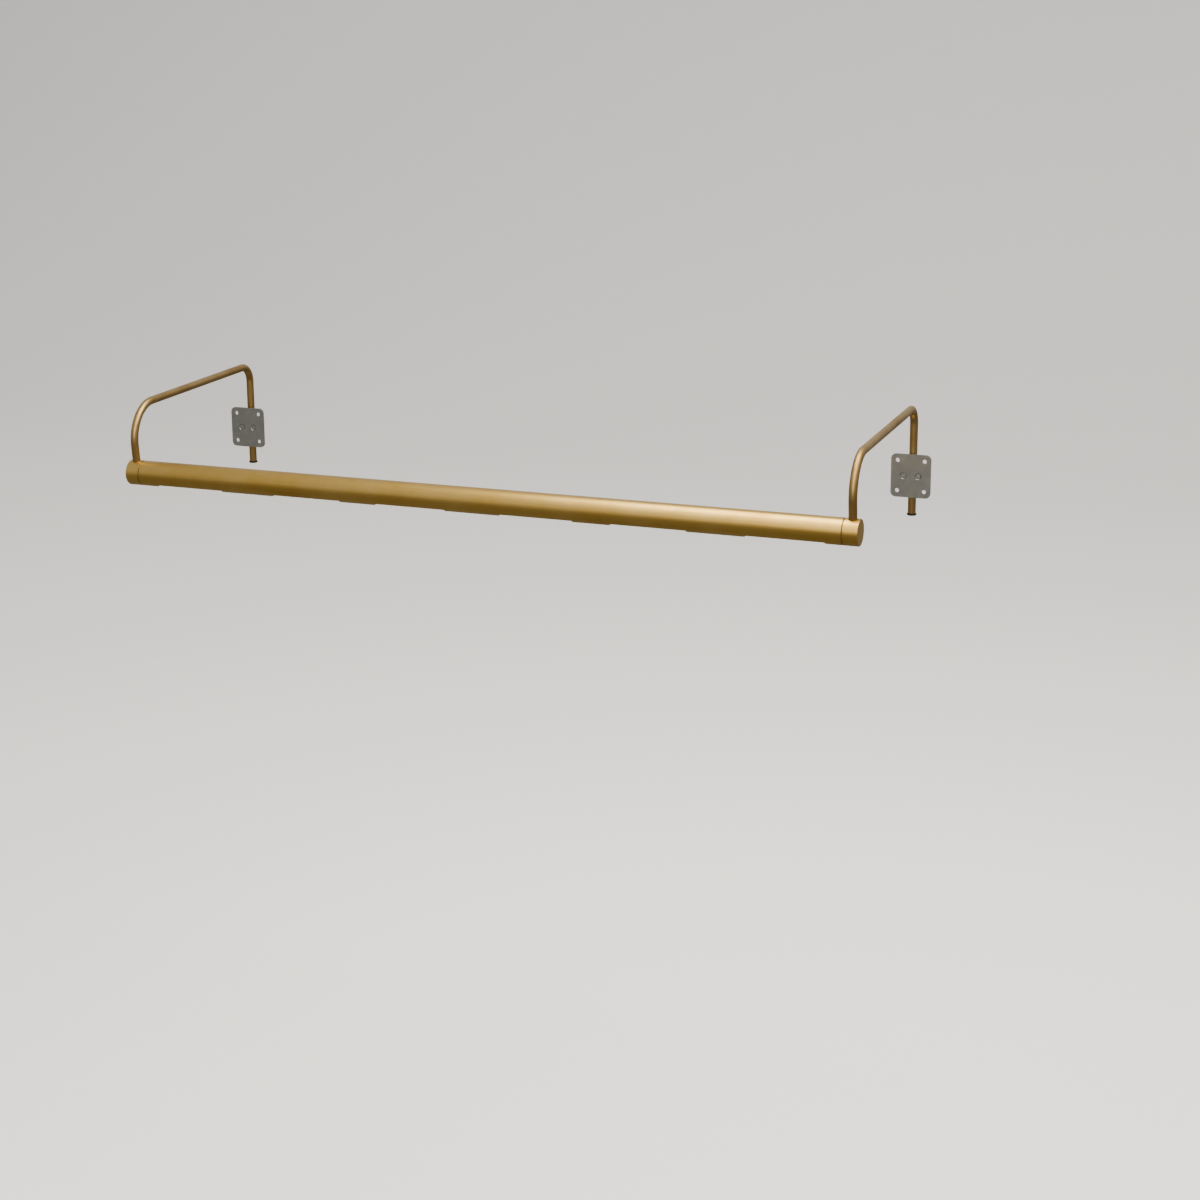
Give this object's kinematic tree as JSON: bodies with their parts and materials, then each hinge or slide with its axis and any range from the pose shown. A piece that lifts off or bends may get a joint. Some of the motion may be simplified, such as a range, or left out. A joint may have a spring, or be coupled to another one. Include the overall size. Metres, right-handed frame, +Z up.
{
  "type": "picture light",
  "caption": "Slim tubular brass picture light with underside windows, turning between end caps on two bent arms that reach over a picture frame and clamp behind it.",
  "frame": {"origin": "midway between the two bracket plates, on the plane where they bear on the back of the picture frame", "axes": "+X along the shade, +Y away from the picture frame's back towards the wall, +Z up"},
  "size_m": [0.7876, 0.2734, 0.1148],
  "materials": {
    "satin_brass": "satin brushed and lacquered",
    "zinc_steel": "zinc plated",
    "white_enamel": "white enamel",
    "phenolic": "moulded",
    "lamp_glass": "clear",
    "tungsten": "drawn wire",
    "rubber": "moulded",
    "ptfe": "cut sheet",
    "wire_black": "insulation",
    "wire_white": "insulation"
  },
  "bodies": {
    "brackets": {"left_bracket_plate": "zinc_steel", "left_clamp_block": "satin_brass", "left_block_screw_inner": "zinc_steel", "left_block_screw_outer": "zinc_steel", "right_bracket_plate": "zinc_steel", "right_clamp_block": "satin_brass", "right_block_screw_inner": "zinc_steel", "right_block_screw_outer": "zinc_steel"},
    "left_thumb": {"left_thumb_screw": "satin_brass"},
    "right_thumb": {"right_thumb_screw": "satin_brass"},
    "arm_set": {"left_arm": "satin_brass", "left_end_cap": "satin_brass", "left_swivel_washer": "ptfe", "left_friction_ring": "rubber", "left_arm_grub_screw": "zinc_steel", "right_arm": "satin_brass", "right_end_cap": "satin_brass", "right_swivel_washer": "ptfe", "right_friction_ring": "rubber", "right_arm_grub_screw": "zinc_steel", "left_arm_plug": "rubber", "cord_inlet_bushing": "rubber", "arm_lead": "wire_black"},
    "shade": {"shade_tube": "satin_brass", "reflector_tray": "white_enamel", "left_stop_screw": "satin_brass", "right_stop_screw": "satin_brass", "line_wire": "wire_black", "neutral_wire": "wire_white", "lampholder_clip_1": "zinc_steel", "clip_screw_1": "satin_brass", "lampholder_clip_2": "zinc_steel", "clip_screw_2": "satin_brass", "lampholder_clip_3": "zinc_steel", "clip_screw_3": "satin_brass", "lampholder_1": "phenolic", "lamp_base_1": "satin_brass", "lamp_glass_1": "lamp_glass", "lamp_filament_1": "tungsten", "lampholder_2": "phenolic", "lamp_base_2": "satin_brass", "lamp_glass_2": "lamp_glass", "lamp_filament_2": "tungsten", "lampholder_3": "phenolic", "lamp_base_3": "satin_brass", "lamp_glass_3": "lamp_glass", "lamp_filament_3": "tungsten", "lampholder_4": "phenolic", "lamp_base_4": "satin_brass", "lamp_glass_4": "lamp_glass", "lamp_filament_4": "tungsten", "lampholder_5": "phenolic", "lamp_base_5": "satin_brass", "lamp_glass_5": "lamp_glass", "lamp_filament_5": "tungsten", "lampholder_6": "phenolic", "lamp_base_6": "satin_brass", "lamp_glass_6": "lamp_glass", "lamp_filament_6": "tungsten"}
  },
  "joints": [
    {"name": "height_slide", "type": "slide", "parent": "brackets", "child": "arm_set", "axis": [0, 0, 1], "range_m": [-0.026, 0.028]},
    {"name": "shade_swivel", "type": "hinge", "parent": "arm_set", "child": "shade", "pos_m": [0, -0.23393, 0], "axis": [1, 0, 0], "range_deg": [-45, 45]},
    {"name": "left_thumb_turn", "type": "hinge", "parent": "brackets", "child": "left_thumb", "pos_m": [-0.37375, 0.00967, 0], "axis": [0, 1, 0], "range_deg": [0, 360]},
    {"name": "right_thumb_turn", "type": "hinge", "parent": "brackets", "child": "right_thumb", "pos_m": [0.37375, 0.00967, 0], "axis": [0, 1, 0], "range_deg": [0, 360]}
  ]
}
